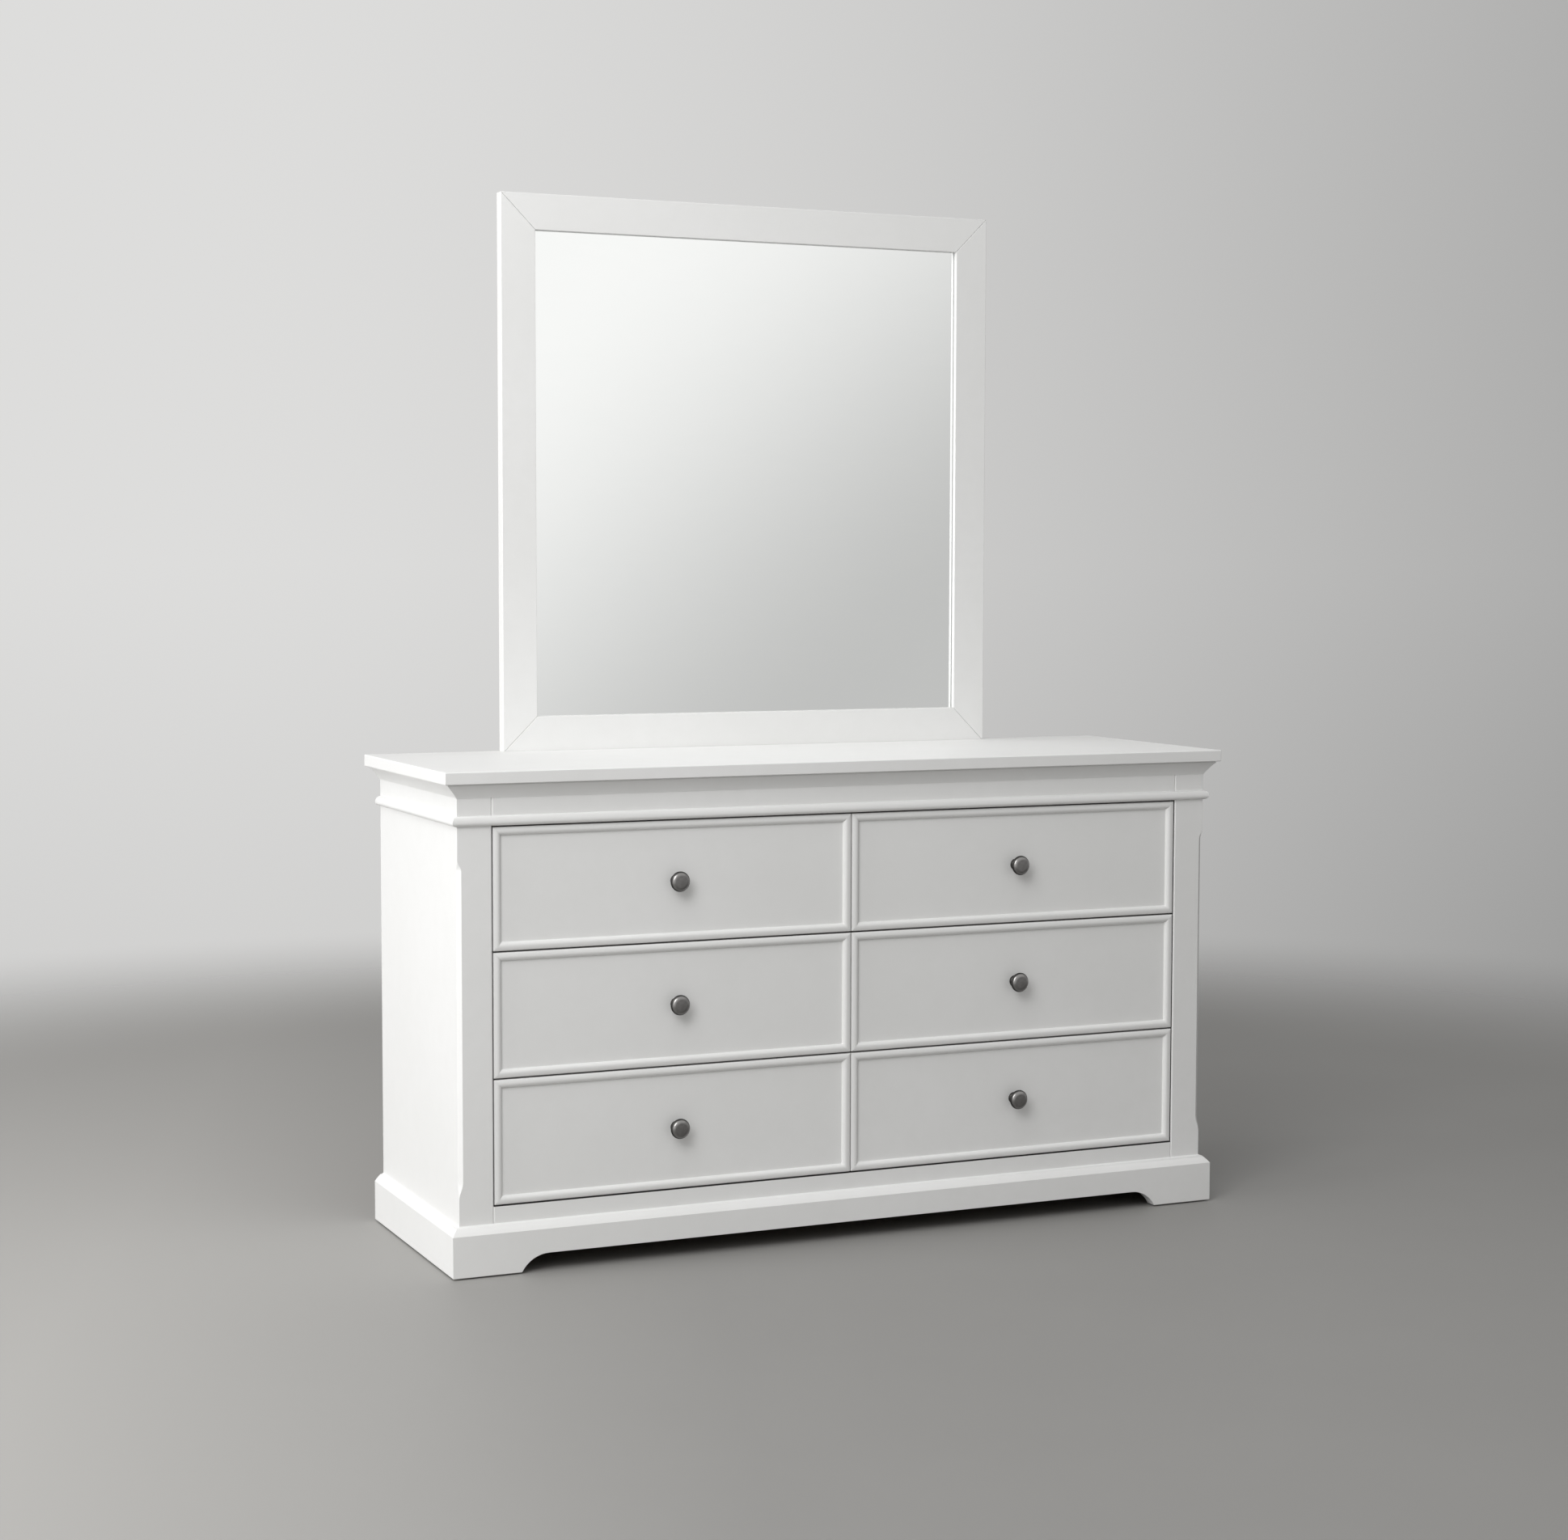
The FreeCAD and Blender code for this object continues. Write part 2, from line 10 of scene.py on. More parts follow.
import bmesh
import bpy
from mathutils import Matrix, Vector


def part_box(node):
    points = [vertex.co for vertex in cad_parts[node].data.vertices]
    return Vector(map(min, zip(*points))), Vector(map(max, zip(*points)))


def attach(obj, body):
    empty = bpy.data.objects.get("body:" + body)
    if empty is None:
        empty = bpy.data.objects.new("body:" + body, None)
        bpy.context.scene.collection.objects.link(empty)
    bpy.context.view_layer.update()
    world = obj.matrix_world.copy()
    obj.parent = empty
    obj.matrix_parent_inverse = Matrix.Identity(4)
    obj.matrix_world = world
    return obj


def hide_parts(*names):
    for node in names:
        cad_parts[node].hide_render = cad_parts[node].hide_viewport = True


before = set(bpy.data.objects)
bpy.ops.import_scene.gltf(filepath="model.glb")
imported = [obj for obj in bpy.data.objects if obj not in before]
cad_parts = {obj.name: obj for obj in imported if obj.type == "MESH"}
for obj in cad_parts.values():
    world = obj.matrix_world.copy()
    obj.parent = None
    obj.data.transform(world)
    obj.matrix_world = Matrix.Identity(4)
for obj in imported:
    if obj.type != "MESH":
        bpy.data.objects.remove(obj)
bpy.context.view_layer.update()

ROWS = ("bottom", "middle", "top")
COLUMNS = ("left", "right")
DRAWERS = ["drawer_%s_%s" % (row, column) for row in ROWS for column in COLUMNS]

# ---------------------------------------------------------------- sizes
# arrises taken off by hand
worn_arris = 0.0007
fine_arris = 0.00035
joint_arris = 0.00022
mitre_arris = 0.0008
arris_steps = 3

# cove: ledge, hollow and quirk face are shares of its projection, and the others are rises
cove_ledge = 0.06
cove_hollow = 0.04
cove_quirk_face = 0.93
cove_foot = 0.0009
cove_hollow_lift = 0.006
cove_lip = 0.002
cove_quirk = 0.0012
cove_steps = 8

# nosing: the share of its height where it stands out most, and the power that fills its curve
nosing_nose = 0.38
nosing_fullness = 0.9
nosing_lower_steps = 8
nosing_upper_steps = 10

# mirror
glass_shadow = 0.0018
mitre_gap = 0.0006
batten_width = 0.050
batten_screw_rises = (0.045, 0.135, 0.36, 0.53, 0.70)
batten_seed = 11

# drawers
row_relief = 0.0005
bead_width = 0.0145
bead_edge = 0.0044
bead_arris = 0.0004
bead_arris_ease = 0.3
bead_fall = 1.2
bead_swell_steps = 6
bead_fall_steps = 13
mitre_line = 0.0003
box_front_thickness = 0.014
box_screw_places = (-0.21, 0, 0.21)
box_seed = 100

# screws: heads as (radius, rise) in mm
sunk_head_rings = [(2.0, -2.4), (3.95, -0.75), (4.0, -0.5), (3.9, -0.36), (3.2, -0.3)]
pan_head_rings = [(4.6, 0.0), (4.6, 0.7), (4.2, 1.3), (3.4, 1.8), (2.9, 1.95)]
screw_sides = 28
countersink = 0.0046
countersink_lift = 0.0022
cross_length = 0.0044
cross_width = 0.0009
cross_depth = 0.0011

# knob as (radius, rise) in mm: foot, waisted neck and back of the head; the rim and the dome as arcs, with
# the radius and rise of the centre and the radius of the arc; and the flat middle of the face
knob_foot = [(10.6, 0.0), (10.6, 0.9), (10.3, 1.9), (9.6, 2.9), (8.6, 3.8)]
knob_neck = [(7.5, 5.0), (6.8, 6.8), (6.5, 9.2), (6.6, 11.8), (7.3, 13.8), (8.9, 15.2)]
knob_back = [(11.6, 16.3), (14.7, 17.0), (16.7, 17.6), (17.4, 18.3)]
knob_rim = (15.8, 19.2, 1.8)
knob_rim_turns = range(0, 90, 18)
knob_dome = (9.4, 17.7, 8.0)
knob_dome_turns = range(33, 90, 5)
knob_middle = [(7.0, 25.78), (4.5, 25.9), (2.0, 25.98), (0.5, 26.0)]
knob_sides = 64
ring_metres_per_radian = 0.01

# where boards may lie in the tree they were sawn from, along the grain and across it
tree_length = (0, 3)
tree_width = (-0.05, 0.05)
tree_depth = (0.0, 0.08)

# how near counts as doubled, flat, smooth, sharp, square, on a plane or on a mitre
merge_distance = 0.00002
flat_turn = math.radians(0.4)
smooth_turn = math.radians(40)
sharp_turn = math.radians(30)
square_reach = 0.01
plane_reach = 0.00006
mitre_reach = 0.0001

# studio: floor, camera and the brightness all round
floor_reach = 9.0
floor_sides = 96
floor_fade_start = 2.2
floor_fade_end = 4.2
camera_lens = 64.15
camera_place = (-2.1093, -4.6471, 1.1905)
camera_dip = 4.2005
camera_roll = -0.130
camera_heading = -24.1186
room_dim = 0.56
room_bright = 1.0
wall_bright = 0.725
wall_painted_shade = 0.2
wall_foot_fall = 0.12
ambient_below = 0.223
ambient_above = 0.384

# ---------------------------------------------------------------- colours
lacquer_cool = (0.835, 0.836, 0.826)
lacquer_warm = (0.868, 0.868, 0.862)
lacquer_mottle = (0.815, 0.815, 0.803)
lacquer_rubbed = (0.90, 0.895, 0.875)
# near black, painted shade for faces that look into gaps and hollows
joint_painted_shade = (0.045, 0.043, 0.040)
pale_wood = (0.56, 0.40, 0.235)
dark_wood = (0.40, 0.255, 0.13)
pore_shade = 0.55
board_dark = (0.28, 0.17, 0.092)
board_pale = (0.40, 0.26, 0.15)
board_cloud = (0.33, 0.215, 0.125)
board_shive = (0.15, 0.085, 0.045)
pad_black = (0.028, 0.028, 0.028)
pad_scuffed = (0.06, 0.058, 0.055)
silver_deep = (0.925, 0.94, 0.935)
silver_clear = (0.945, 0.955, 0.95)
pewter_dark = (0.155, 0.151, 0.149)
pewter_pale = (0.235, 0.230, 0.226)
pewter_rubbed_highlight = (0.30, 0.295, 0.29)
pewter_patina_shade = (0.030, 0.029, 0.028)
zinc_bright = (0.62, 0.60, 0.56)
zinc_dull = (0.40, 0.39, 0.37)
floor_dark = (0.258, 0.253, 0.245)
floor_pale = (0.292, 0.287, 0.278)
floor_painted_light = (0.400, 0.392, 0.378)
air_warm = (1.0, 0.996, 0.985)


# ---------------------------------------------------------------- shader maths
class Wire:
    """A shader value that can be added, multiplied and so on; each sign is one Math node."""

    def __init__(self, finish, socket):
        self.finish = finish
        self.socket = socket

    def __add__(self, other):
        return self.finish.maths("ADD", self, other)

    def __radd__(self, other):
        return self.finish.maths("ADD", other, self)

    def __sub__(self, other):
        return self.finish.maths("SUBTRACT", self, other)

    def __rsub__(self, other):
        return self.finish.maths("SUBTRACT", other, self)

    def __mul__(self, other):
        return self.finish.maths("MULTIPLY", self, other)

    def __rmul__(self, other):
        return self.finish.maths("MULTIPLY", other, self)

    def __pow__(self, other):
        return self.finish.maths("POWER", self, other)


class Finish:
    """A material or a world being mixed from nodes."""

    def __init__(self, name, shelf=bpy.data.materials):
        self.made = shelf.new(name)
        self.made.use_nodes = True
        self.tree = self.made.node_tree
        self.tree.nodes.clear()

    def node(self, kind, settings=None, inputs=None, output=0):
        """Any node: its settings first, then the numbers or wires of its sockets; gives one output."""
        node = self.tree.nodes.new("ShaderNode" + kind)
        for name, value in (settings or {}).items():
            setattr(node, name, value)
        for name, value in (inputs or {}).items():
            socket = self.find(node.inputs, name)
            if isinstance(value, Wire):
                self.tree.links.new(value.socket, socket)
            else:
                socket.default_value = value
        if not node.outputs:
            return None
        return Wire(self, self.find(node.outputs, output))

    @staticmethod
    def find(sockets, name):
        """A socket in use, by its name or its number."""
        if isinstance(name, int):
            return [s for s in sockets if s.enabled][name]
        return next(s for s in sockets if s.enabled and s.name == name)

    def maths(self, operation, *values):
        return self.node("Math", {"operation": operation}, dict(enumerate(values)))

    def clamped(self, value):
        return self.node("Clamp", None, {"Value": value})

    def blend(self, share, first, second):
        """A colour between two colours."""
        inputs = {"Factor": share, "A": self.colour(first), "B": self.colour(second)}
        return self.node("Mix", {"data_type": "RGBA"}, inputs)

    @staticmethod
    def colour(value):
        """A wire as it is, or a colour with its fourth number."""
        return value if isinstance(value, Wire) else (*value, 1)

    def between(self, share, first, second):
        """A number between two numbers."""
        return self.node("Mix", {"data_type": "FLOAT"}, {"Factor": share, "A": first, "B": second})

    def parts(self, vector):
        """The three numbers of a vector."""
        apart = self.node("SeparateXYZ", None, {0: vector})
        return [Wire(self, output) for output in apart.socket.node.outputs]

    def scaled(self, vector, factors):
        return self.node("VectorMath", {"operation": "MULTIPLY"}, {0: vector, 1: factors})

    def noise(self, vector, size, detail=2.0, roughness=0.5, distortion=0.0):
        """Soft noise from 0 to 1 whose features are about size metres across."""
        inputs = {"Vector": vector, "Scale": 1 / size, "Detail": detail, "Roughness": roughness,
                  "Distortion": distortion}
        return self.node("TexNoise", None, inputs)

    def place(self):
        return self.node("TexCoord", output="Object")

    def attribute(self, name, output):
        return self.node("Attribute", {"attribute_name": name}, output=output)

    def spread(self, value, low, high, to_low=0.0, to_high=1.0, eased=False):
        """The range low to high opened out to to_low to to_high, and held there; eased has soft ends."""
        settings = {"interpolation_type": "SMOOTHSTEP" if eased else "LINEAR"}
        inputs = {"Value": value, "From Min": low, "From Max": high, "To Min": to_low, "To Max": to_high}
        return self.node("MapRange", settings, inputs)

    def bump(self, height, depth, under=None):
        """A relief whose height runs from 0 to 1 over depth metres."""
        inputs = {"Height": height, "Distance": depth, "Strength": 1.0}
        if under is not None:
            inputs["Normal"] = under
        return self.node("Bump", None, inputs)

    def surface(self, **inputs):
        """The finished material, from the sockets of its surface with _ for a space."""
        shader = self.node("BsdfPrincipled", None, {k.replace("_", " "): v for k, v in inputs.items()})
        self.node("OutputMaterial", None, {"Surface": shader})
        return self.made


# ---------------------------------------------------------------- finishes
def white_paint():
    """Sprayed satin lacquer: faint orange peel, a breath of colour, rubbed arrises, and painted shade
    darkening the faces that look into gaps and hollows nearly to black.
    """
    mix = Finish("white_paint")
    place = mix.place()
    cloud = mix.noise(place, 0.45, 2.0)
    mottle = mix.noise(place, 0.03, 3.0, 0.55)
    rubbed = mix.noise(place, 0.012, 4.0, 0.65)
    edge = mix.attribute("arris", "Fac")
    wear = edge * mix.spread(rubbed, 0.42, 0.72)
    base = mix.blend(mix.spread(cloud, 0.3, 0.7), lacquer_cool, lacquer_warm)
    base = mix.blend(mix.spread(mottle, 0.35, 0.75) * 0.35, base, lacquer_mottle)
    base = mix.blend(wear * 0.45, base, lacquer_rubbed)
    # painted shade: faces marked as looking into a gap or hollow go nearly black, with faint noise, and are
    # rougher
    shade_noise = mix.noise(place, 0.006, 3.0, 0.6)
    joint_shade = mix.attribute("joint", "Fac") * (0.86 + shade_noise * 0.14)
    base = mix.blend(joint_shade, base, joint_painted_shade)
    smudge = mix.noise(place, 0.09, 4.0, 0.6)
    roughness = 0.36 + smudge * 0.10 - wear * 0.08 + joint_shade * 0.3
    peel = mix.noise(place, 0.0032, 1.0, 0.4)
    flow = mix.noise(place, 0.055, 1.0, 0.4)
    relief = mix.bump(peel, 0.00006, mix.bump(flow, 0.00025))
    return mix.surface(Base_Color=base, Roughness=roughness, Normal=relief, IOR=1.5)


def timber(name, along, pale, dark):
    """Sanded timber. along is the grain's own vector: its first number runs with the grain."""
    mix = Finish(name)
    vector = along(mix)
    waver = mix.noise(mix.scaled(vector, (1.3, 9.0, 9.0)), 1.0, 2.0)
    centred = mix.node("VectorMath", {"operation": "ADD"}, {0: vector, 1: (0.0, 0.043, 0.031)})
    _, across, through = mix.parts(centred)
    ring = mix.maths("SQRT", across * across + through * through) * 190 + waver * 7
    band = mix.maths("FRACT", ring)
    late = band ** 3
    fibre = mix.noise(mix.scaled(vector, (9.0, 900.0, 900.0)), 1.0, 3.0, 0.6)
    pores = mix.noise(mix.scaled(vector, (60.0, 2400.0, 2400.0)), 1.0, 1.0)
    base = mix.blend(late * 0.55 + mix.spread(fibre, 0.3, 0.75) * 0.3, pale, dark)
    base = mix.blend(mix.spread(pores, 0.62, 0.72) * 0.5, base, tuple(c * pore_shade for c in dark))
    roughness = 0.58 + fibre * 0.14 - late * 0.08
    relief = mix.bump(fibre + late * 0.5 - mix.spread(pores, 0.62, 0.72), 0.00006)
    return mix.surface(Base_Color=base, Roughness=roughness, Normal=relief, IOR=1.45)


def grain_by_board(mix):
    return mix.attribute("grain", "Vector")


def grain_along(axis):
    """The place on the object with the given axis put first, for timber that isn't laid out by board."""
    order = {"X": (0, 1, 2), "Y": (1, 0, 2), "Z": (2, 0, 1)}[axis]

    def swapped(mix):
        parts = mix.parts(mix.place())
        return mix.node("CombineXYZ", None, {i: parts[n] for i, n in enumerate(order)})

    return swapped


def backing_board():
    """Smooth brown board: fine matted fibres with a few darker shives."""
    mix = Finish("backing_board")
    place = mix.place()
    matted = mix.noise(mix.scaled(place, (1.0, 1.0, 0.7)), 0.0022, 4.0, 0.7, 0.6)
    cloud = mix.noise(place, 0.16, 3.0)
    shive = mix.noise(mix.scaled(place, (1.0, 1.0, 5.0)), 0.004, 2.0, 0.5, 1.5)
    base = mix.blend(mix.spread(matted, 0.3, 0.7), board_dark, board_pale)
    base = mix.blend(mix.spread(cloud, 0.35, 0.7) * 0.4, base, board_cloud)
    base = mix.blend(mix.spread(shive, 0.66, 0.74) * 0.6, base, board_shive)
    roughness = 0.62 + matted * 0.2
    relief = mix.bump(matted, 0.00009)
    return mix.surface(Base_Color=base, Roughness=roughness, Normal=relief, IOR=1.45)


def glide_pad():
    """Hard black pad, matt and a little scuffed."""
    mix = Finish("glide_pad")
    scuff = mix.noise(mix.place(), 0.004, 4.0, 0.6)
    base = mix.blend(mix.spread(scuff, 0.4, 0.75), pad_black, pad_scuffed)
    relief = mix.bump(scuff, 0.00008)
    return mix.surface(Base_Color=base, Roughness=0.55 + scuff * 0.2, Normal=relief, IOR=1.45)


def mirror_glass():
    """Silvered plate: nearly perfect, with the faintest wiping marks."""
    mix = Finish("mirror_glass")
    place = mix.place()
    wiped = mix.noise(mix.scaled(place, (1.0, 1.0, 2.4)), 0.11, 4.0, 0.6, 1.2)
    base = mix.blend(wiped, silver_deep, silver_clear)
    roughness = 0.012 + mix.spread(wiped, 0.5, 0.8) * 0.018
    return mix.surface(Base_Color=base, Metallic=1.0, Roughness=roughness)


def pewter():
    """Turned knobs: a face rubbed by hands, fine rings from the lathe, a brighter rubbed band on the shoulder
    that is partly a painted highlight, and a near-black skin at the rim and behind the head that is partly
    patina and partly painted shade.
    """
    mix = Finish("knob_metal")
    about_axis = mix.attribute("ring", "Vector")
    out, _, behind = mix.parts(about_axis)
    cloud = mix.noise(mix.attribute("turned", "Vector"), 0.006, 4.0, 0.6)
    rings = mix.noise(mix.scaled(about_axis, (1.0, 0.02, 1.0)), 0.00035, 2.0, 0.6)
    tarnish = mix.spread(cloud, 0.3, 0.7) * 0.6 + mix.spread(rings, 0.3, 0.7) * 0.4
    base = mix.blend(tarnish, pewter_dark, pewter_pale)
    # a brighter band round the shoulder: partly wear, partly a painted highlight
    rubbed = mix.spread(out, 0.0100, 0.0135) * mix.spread(out, 0.0148, 0.0160, 1.0, 0.0)
    base = mix.blend(rubbed * 0.6, base, pewter_rubbed_highlight)
    # the rim and all behind the head, neck and foot included, go near black: partly patina, partly painted
    # shade
    rim = mix.spread(out + cloud * 0.0010, 0.0158, 0.0171)
    patina_shade = mix.clamped(mix.spread(behind, 0.0062, 0.0085) + rim)
    base = mix.blend(patina_shade * 0.9, base, pewter_patina_shade)
    roughness = 0.22 + rings * 0.08 + cloud * 0.10 + patina_shade * 0.06
    relief = mix.bump(rings, 0.000012)
    return mix.surface(Base_Color=base, Metallic=1.0, Roughness=roughness, Normal=relief)


def bright_steel():
    """Zinc-plated screws: patches of dulled plating over bright metal."""
    mix = Finish("screw_metal")
    place = mix.place()
    dull = mix.noise(place, 0.0025, 4.0, 0.65)
    scratch = mix.noise(mix.scaled(place, (1.0, 1.0, 6.0)), 0.0008, 2.0, 0.6)
    base = mix.blend(mix.spread(dull, 0.35, 0.7), zinc_bright, zinc_dull)
    relief = mix.bump(scratch, 0.00001)
    return mix.surface(Base_Color=base, Metallic=1.0, Roughness=0.28 + dull * 0.2, Normal=relief)


paint = white_paint()
board_wood = timber("bare_wood", grain_by_board, pale_wood, dark_wood)
wood_along = {axis: timber("bare_wood_" + axis.lower(), grain_along(axis), pale_wood, dark_wood)
              for axis in "XYZ"}
hardboard = backing_board()
silvering = mirror_glass()
pad = glide_pad()
knob_metal = pewter()
screw_metal = bright_steel()


# ---------------------------------------------------------------- hand tools
def select_only(*objects):
    bpy.ops.object.select_all(action="DESELECT")
    for item in objects:
        item.select_set(True)
    bpy.context.view_layer.objects.active = objects[0]


@contextmanager
def on_the_bench(piece, mode="EDGE", picked="DESELECT"):
    """The piece opened for modelling, with nothing on it selected, or all of it where picked is SELECT."""
    select_only(piece)
    bpy.ops.object.mode_set(mode="EDIT")
    bpy.ops.mesh.select_mode(type=mode)
    bpy.ops.mesh.select_all(action=picked)
    yield bmesh.from_edit_mesh(piece.data)
    bpy.ops.object.mode_set(mode="OBJECT")


def settle():
    """Puts the place, turn and scale of what is selected into its mesh."""
    bpy.ops.object.transform_apply(location=True, rotation=True, scale=True)


def start_from(add, name, scale=(1, 1, 1), **sizes):
    """A new piece from a primitive, added with nothing else selected and settled."""
    bpy.ops.object.select_all(action="DESELECT")
    add(**sizes)
    piece = bpy.context.object
    piece.name = name
    piece.scale = scale
    settle()
    return piece


def own_copy(name, mesh):
    """A new object in the scene with its own copy of a mesh."""
    made = bpy.data.objects.new(name, mesh.copy())
    bpy.context.scene.collection.objects.link(made)
    return made


def face_outwards(piece):
    with on_the_bench(piece, "FACE", "SELECT"):
        bpy.ops.mesh.normals_make_consistent(inside=False)


def step_out(rise, grow, middle):
    """Draws the selected faces out by rise and resizes them about the middle."""
    bpy.ops.mesh.extrude_region_move(TRANSFORM_OT_translate={"value": rise})
    bpy.ops.transform.resize(value=grow, center_override=middle)


def copy_of(name, *nodes):
    """One piece from the meshes of CAD nodes, with doubled points merged."""
    copies = [own_copy(name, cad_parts[node].data) for node in nodes]
    select_only(*copies)
    if len(copies) > 1:
        bpy.ops.object.join()
    piece = bpy.context.view_layer.objects.active
    bpy.ops.mesh.customdata_custom_splitnormals_clear()
    with on_the_bench(piece, picked="SELECT"):
        bpy.ops.mesh.remove_doubles(threshold=merge_distance)
    return piece


def make_whole(piece):
    """The triangles of each flat face become one face, but not across a seam."""
    with on_the_bench(piece, picked="SELECT"):
        bpy.ops.mesh.dissolve_limited(angle_limit=flat_turn, delimit={"SEAM"})


def open_joints(piece, meets):
    """Deletes the hidden faces where lengths of one moulding meet, and marks the joint's line as a seam."""
    with on_the_bench(piece) as mesh:
        for edge in mesh.edges:
            edge.select_set(len(edge.link_faces) > 2)
        bpy.ops.mesh.mark_seam()
    with on_the_bench(piece, "FACE") as mesh:
        for face in mesh.faces:
            face.select_set(meets(face.calc_center_median(), face.normal))
        bpy.ops.mesh.delete(type="FACE")


def planes(*pairs):
    """Planes square to an axis, from pairs of the axis's letter and the place along it."""
    return [("xyz".index(axis), place) for axis, place in pairs]


def on_planes(points, flats):
    """Whether all the points lie on one of the planes."""
    return any(all(abs(point[axis] - place) < plane_reach for point in points) for axis, place in flats)


def soften(piece, width, keep=()):
    """Takes off the outward arrises by width, except those that lie on the joint planes in keep."""
    while len(piece.data.materials) < 2:
        piece.data.materials.append(None)
    with on_the_bench(piece) as mesh:
        for edge in mesh.edges:
            if len(edge.link_faces) != 2 or edge.calc_face_angle_signed() < sharp_turn:
                continue
            ends = [v.co for v in edge.verts]
            edge.select_set(not on_planes(ends, keep))
        if any(edge.select for edge in mesh.edges):
            bpy.ops.mesh.bevel(offset=width, offset_type="OFFSET", segments=arris_steps, profile=0.5,
                               affect="EDGES", clamp_overlap=True, material=1)


def ring_moulding(name, middle, facing, stages):
    """Mitred lengths of a moulding round a rectangle, stepped out from it stage by stage.

    A stage is (half width, half height, rise); the rise runs to the front or up, as facing says.
    """
    forward = facing == "front"
    lift = Vector((0, -1, 0)) if forward else Vector((0, 0, 1))
    wide, high, _ = stages[0]
    piece = start_from(bpy.ops.mesh.primitive_plane_add, name, (wide, high, 1), size=2, location=middle,
                       rotation=(math.pi / 2 if forward else 0, 0, 0))
    with on_the_bench(piece, "FACE", "SELECT"):
        for before, now in zip(stages, stages[1:]):
            wider = now[0] / before[0]
            higher = now[1] / before[1]
            grow = (wider, 1, higher) if forward else (wider, higher, 1)
            step_out(lift * (now[2] - before[2]), grow, middle)
    with on_the_bench(piece, "FACE") as mesh:
        for face in mesh.faces:
            offset = face.calc_center_median() - middle
            face.select_set((offset - offset.dot(lift) * lift).length < plane_reach)
        bpy.ops.mesh.delete(type="FACE")
    with on_the_bench(piece) as mesh:
        for edge in mesh.edges:
            edge.select_set(edge.is_boundary)
        bpy.ops.mesh.bridge_edge_loops()
    face_outwards(piece)
    return piece


def arc(centre, rise, radius, turns):
    """Points round an arc; the turns are in degrees, from straight out to straight up."""
    angles = [math.radians(turn) for turn in turns]
    return [(centre + radius * math.cos(angle), rise + radius * math.sin(angle)) for angle in angles]


def quarter(step, steps):
    """The angle reached at a step of a quarter turn made in equal steps."""
    return math.radians(90 * step / steps)


def turned(name, foot, rings, side, sides):
    """A turned piece, worked up from a disc ring by ring: each is (radius, rise) in mm.

    A side of -1 works it towards the front and 1 towards the back.
    """
    radius, rise = rings[0]
    piece = start_from(bpy.ops.mesh.primitive_circle_add, name, vertices=sides, radius=radius / 1000,
                       fill_type="NGON", location=foot + Vector((0, side * rise / 1000, 0)),
                       rotation=(-side * math.pi / 2, 0, 0))
    with on_the_bench(piece, "FACE", "SELECT"):
        for before, now in zip(rings, rings[1:]):
            grow = now[0] / before[0]
            step_out((0, side * (now[1] - before[1]) / 1000, 0), (grow, 1, grow), foot)
    face_outwards(piece)
    return piece


def cut_out(piece, cutter):
    """Cuts the cutter's shape out of the piece and puts the cutter away."""
    cut = piece.modifiers.new("cut", "BOOLEAN")
    cut.operation = "DIFFERENCE"
    cut.solver = "EXACT"
    cut.object = cutter
    select_only(piece)
    bpy.ops.object.modifier_apply(modifier=cut.name)
    bpy.data.objects.remove(cutter)


def crosshead(name, rings):
    """A screw head at the origin that faces backwards, with a cross sunk in it."""
    head = turned(name, Vector((0, 0, 0)), rings, 1, screw_sides)
    top = max(rise for _, rise in rings) / 1000
    for wide, tall in ((cross_length, cross_width), (cross_width, cross_length)):
        arm = start_from(bpy.ops.mesh.primitive_cube_add, "slot", (wide, 2 * cross_depth, tall), size=1,
                         location=(0, top, 0))
        cut_out(head, arm)
    return head


def set_screws(name, pattern, places, body):
    """Copies of a screw, turned a little differently each, as one piece."""
    draw = random.Random(name)
    copies = [own_copy(name, pattern.data) for _ in places]
    for copy, place in zip(copies, places):
        copy.location = place
        copy.rotation_euler.y = draw.uniform(0, math.pi / 2)
    select_only(*copies)
    settle()
    bpy.ops.object.join()
    return finish_piece(bpy.context.view_layer.objects.active, screw_metal, body)


def mark_arrises(piece):
    """Records which faces are taken-off arrises, where the finish is rubbed."""
    faces = piece.data.polygons
    mark = piece.data.attributes.new("arris", "FLOAT", "FACE")
    mark.data.foreach_set("value", [float(face.material_index == 1) for face in faces])
    faces.foreach_set("material_index", [0] * len(faces))


def mark_painted_shade(piece, joints):
    """Records which faces look into a narrow gap or hollow, which the paint darkens nearly to black as
    painted shade.
    """
    verts = piece.data.vertices
    mark = piece.data.attributes.new("joint", "FLOAT", "FACE")
    mark.data.foreach_set("value", [float(on_planes([verts[i].co for i in face.vertices], joints))
                                    for face in piece.data.polygons])


def mark_boards(piece, seed):
    """Gives each loose board its own grain: along its longest side, and from its own part of the tree."""
    draw = random.Random(seed)
    mesh = bmesh.new()
    mesh.from_mesh(piece.data)
    mesh.verts.ensure_lookup_table()
    grain = [None] * len(mesh.verts)
    for start in mesh.verts:
        if grain[start.index] is not None:
            continue
        board = {start}
        reached = [start]
        while reached:
            vert = reached.pop()
            for edge in vert.link_edges:
                other = edge.other_vert(vert)
                if other not in board:
                    board.add(other)
                    reached.append(other)
        spans = [max(v.co[i] for v in board) - min(v.co[i] for v in board) for i in range(3)]
        order = sorted(range(3), key=lambda i: -spans[i])
        middle = [sum(v.co[i] for v in board) / len(board) for i in range(3)]
        shift = [draw.uniform(*span) for span in (tree_length, tree_width, tree_depth)]
        for vert in board:
            grain[vert.index] = [vert.co[i] - middle[i] + s for i, s in zip(order, shift)]
    mesh.free()
    mark = piece.data.attributes.new("grain", "FLOAT_VECTOR", "POINT")
    mark.data.foreach_set("vector", [number for vector in grain for number in vector])


def coat(piece, material):
    """Gives the whole piece one material."""
    piece.data.materials.clear()
    piece.data.materials.append(material)


